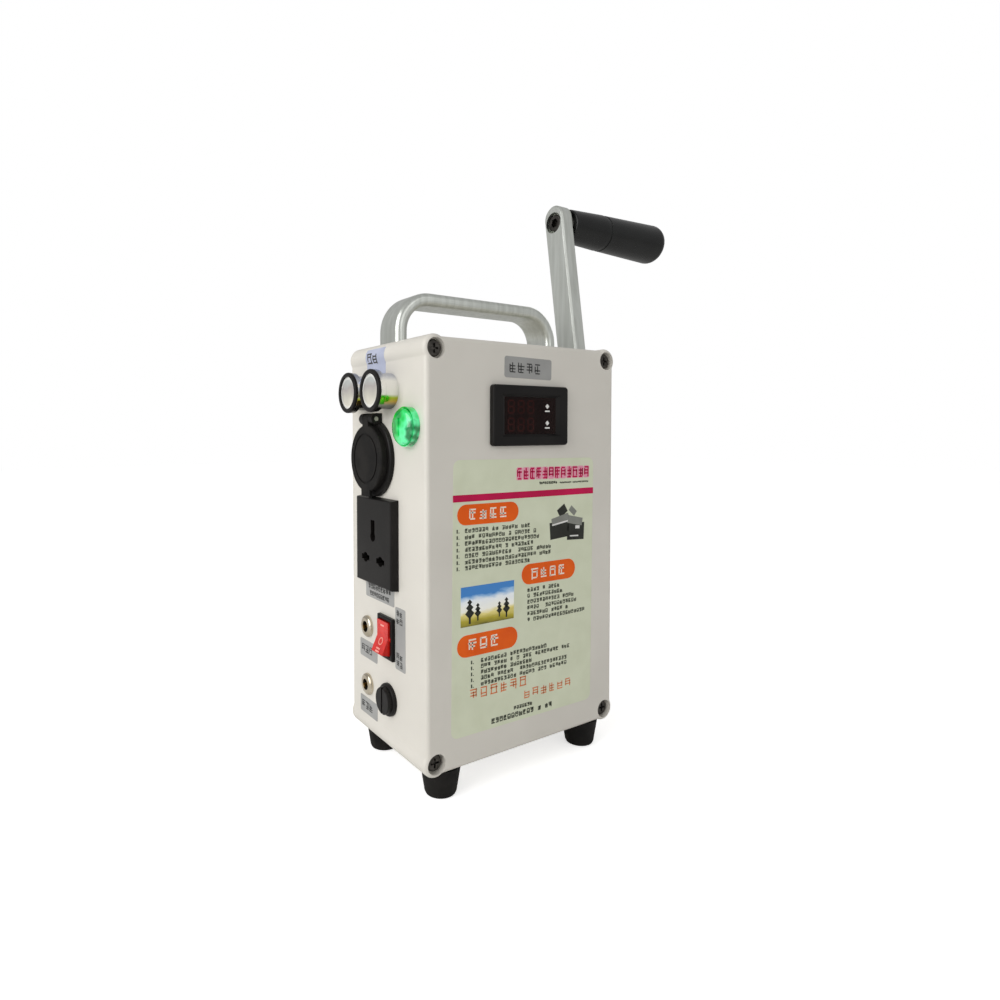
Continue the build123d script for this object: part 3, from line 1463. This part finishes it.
def make_charge_board():
    """The charging board with its finned heat sink."""
    solids = [bare_board(charger_left, charger_width, charger_bottom, charger_height)]
    middle_z = charger_bottom + charger_height / 2
    left = heatsink_x - heatsink_width / 2
    sink = block(left, left + heatsink_width, board_front_y - heatsink_base, board_front_y,
                 middle_z - heatsink_height / 2, middle_z + heatsink_height / 2)
    pitch = (heatsink_width - fin_thickness) / (fin_count - 1)
    for index in range(fin_count):
        fin_left = left + index * pitch
        sink += block(fin_left, fin_left + fin_thickness, board_front_y - heatsink_depth,
                      board_front_y - heatsink_base, middle_z - heatsink_height / 2,
                      middle_z + heatsink_height / 2)
    solids.append(sink)
    return solids


# Write every piece
pieces = {
    "rear_housing": make_rear_housing(),
    "front_lid": make_front_lid(),
    "lid_seal": make_lid_seal(),
    "lid_screws": make_lid_screws(),
    "carry_handle": make_carry_handle(),
    "handle_screws": make_handle_screws(),
    "foot_screws": make_foot_screws(),
    "meter_case": make_meter_case(),
    "meter_window": make_meter_window(),
    "meter_board": make_meter_board(),
    "lamp_emitters": make_lamp_emitters(),
    "button_housing": make_button_housing(),
    "lamp_button": make_lamp_button(),
    "panel_nuts": make_panel_nuts(),
    "socket_body": make_socket_body(),
    "socket_shell": make_socket_shell(),
    "socket_contact": make_socket_contact(),
    "socket_cap": make_socket_cap(),
    "cap_hinge_pin": make_cap_hinge_pin(),
    "outlet_frame": make_outlet_frame(),
    "outlet_contacts": make_outlet_contacts(),
    "switch_frame": make_switch_frame(),
    "rocker": make_rocker(),
    "switch_terminals": make_switch_terminals(),
    "jack_cores": make_jack_cores(),
    "fuse_holder": make_fuse_holder(),
    "fuse_cap": make_fuse_cap(),
    "glass_fuse": make_glass_fuse(),
    "crank_arm": make_crank_arm(),
    "crank_screws": make_crank_screws(),
    "grip": make_grip(),
    "grip_washer": make_grip_washer(),
    "wall_bearing": make_wall_bearing(),
    "bearing_screws": make_bearing_screws(),
    "crank_shaft": make_crank_shaft(),
    "crank_gear": make_crank_gear(),
    "idler_gear": make_idler_gear(),
    "idler_pin": make_idler_pin(),
    "rotor_pinion": make_rotor_pinion(),
    "rotor_core": make_rotor_core(),
    "generator_can": make_generator_can(),
    "generator_magnets": make_generator_magnets(),
    "gearbox_plates": make_gearbox_plates(),
    "gearbox_posts": make_gearbox_posts(),
    "battery_cells": make_battery_cells(),
    "battery_cradle": make_battery_cradle(),
    "inverter_board": make_inverter_board(),
    "charge_board": make_charge_board(),
}
for place, (x, y) in foot_places.items():
    pieces[f"foot_{place}"] = make_foot(x, y)
for place, (y, z) in lamp_places.items():
    pieces[f"lamp_{place}_barrel"] = make_lamp_barrel(y, z)
    pieces[f"lamp_{place}_rim"] = make_lamp_rim(y, z)
    pieces[f"lamp_{place}_lens"] = make_lamp_lens(y, z)
for use, z in jack_zs.items():
    pieces[f"{use}_jack"] = make_jack(z)

os.makedirs("parts", exist_ok=True)
for name, shape in pieces.items():
    solids = shape if isinstance(shape, list) else shape.solids()
    export_step(Compound(children=list(solids)), f"parts/{name}.step")
    print(name, len(solids), round(sum(solid.volume for solid in solids)))
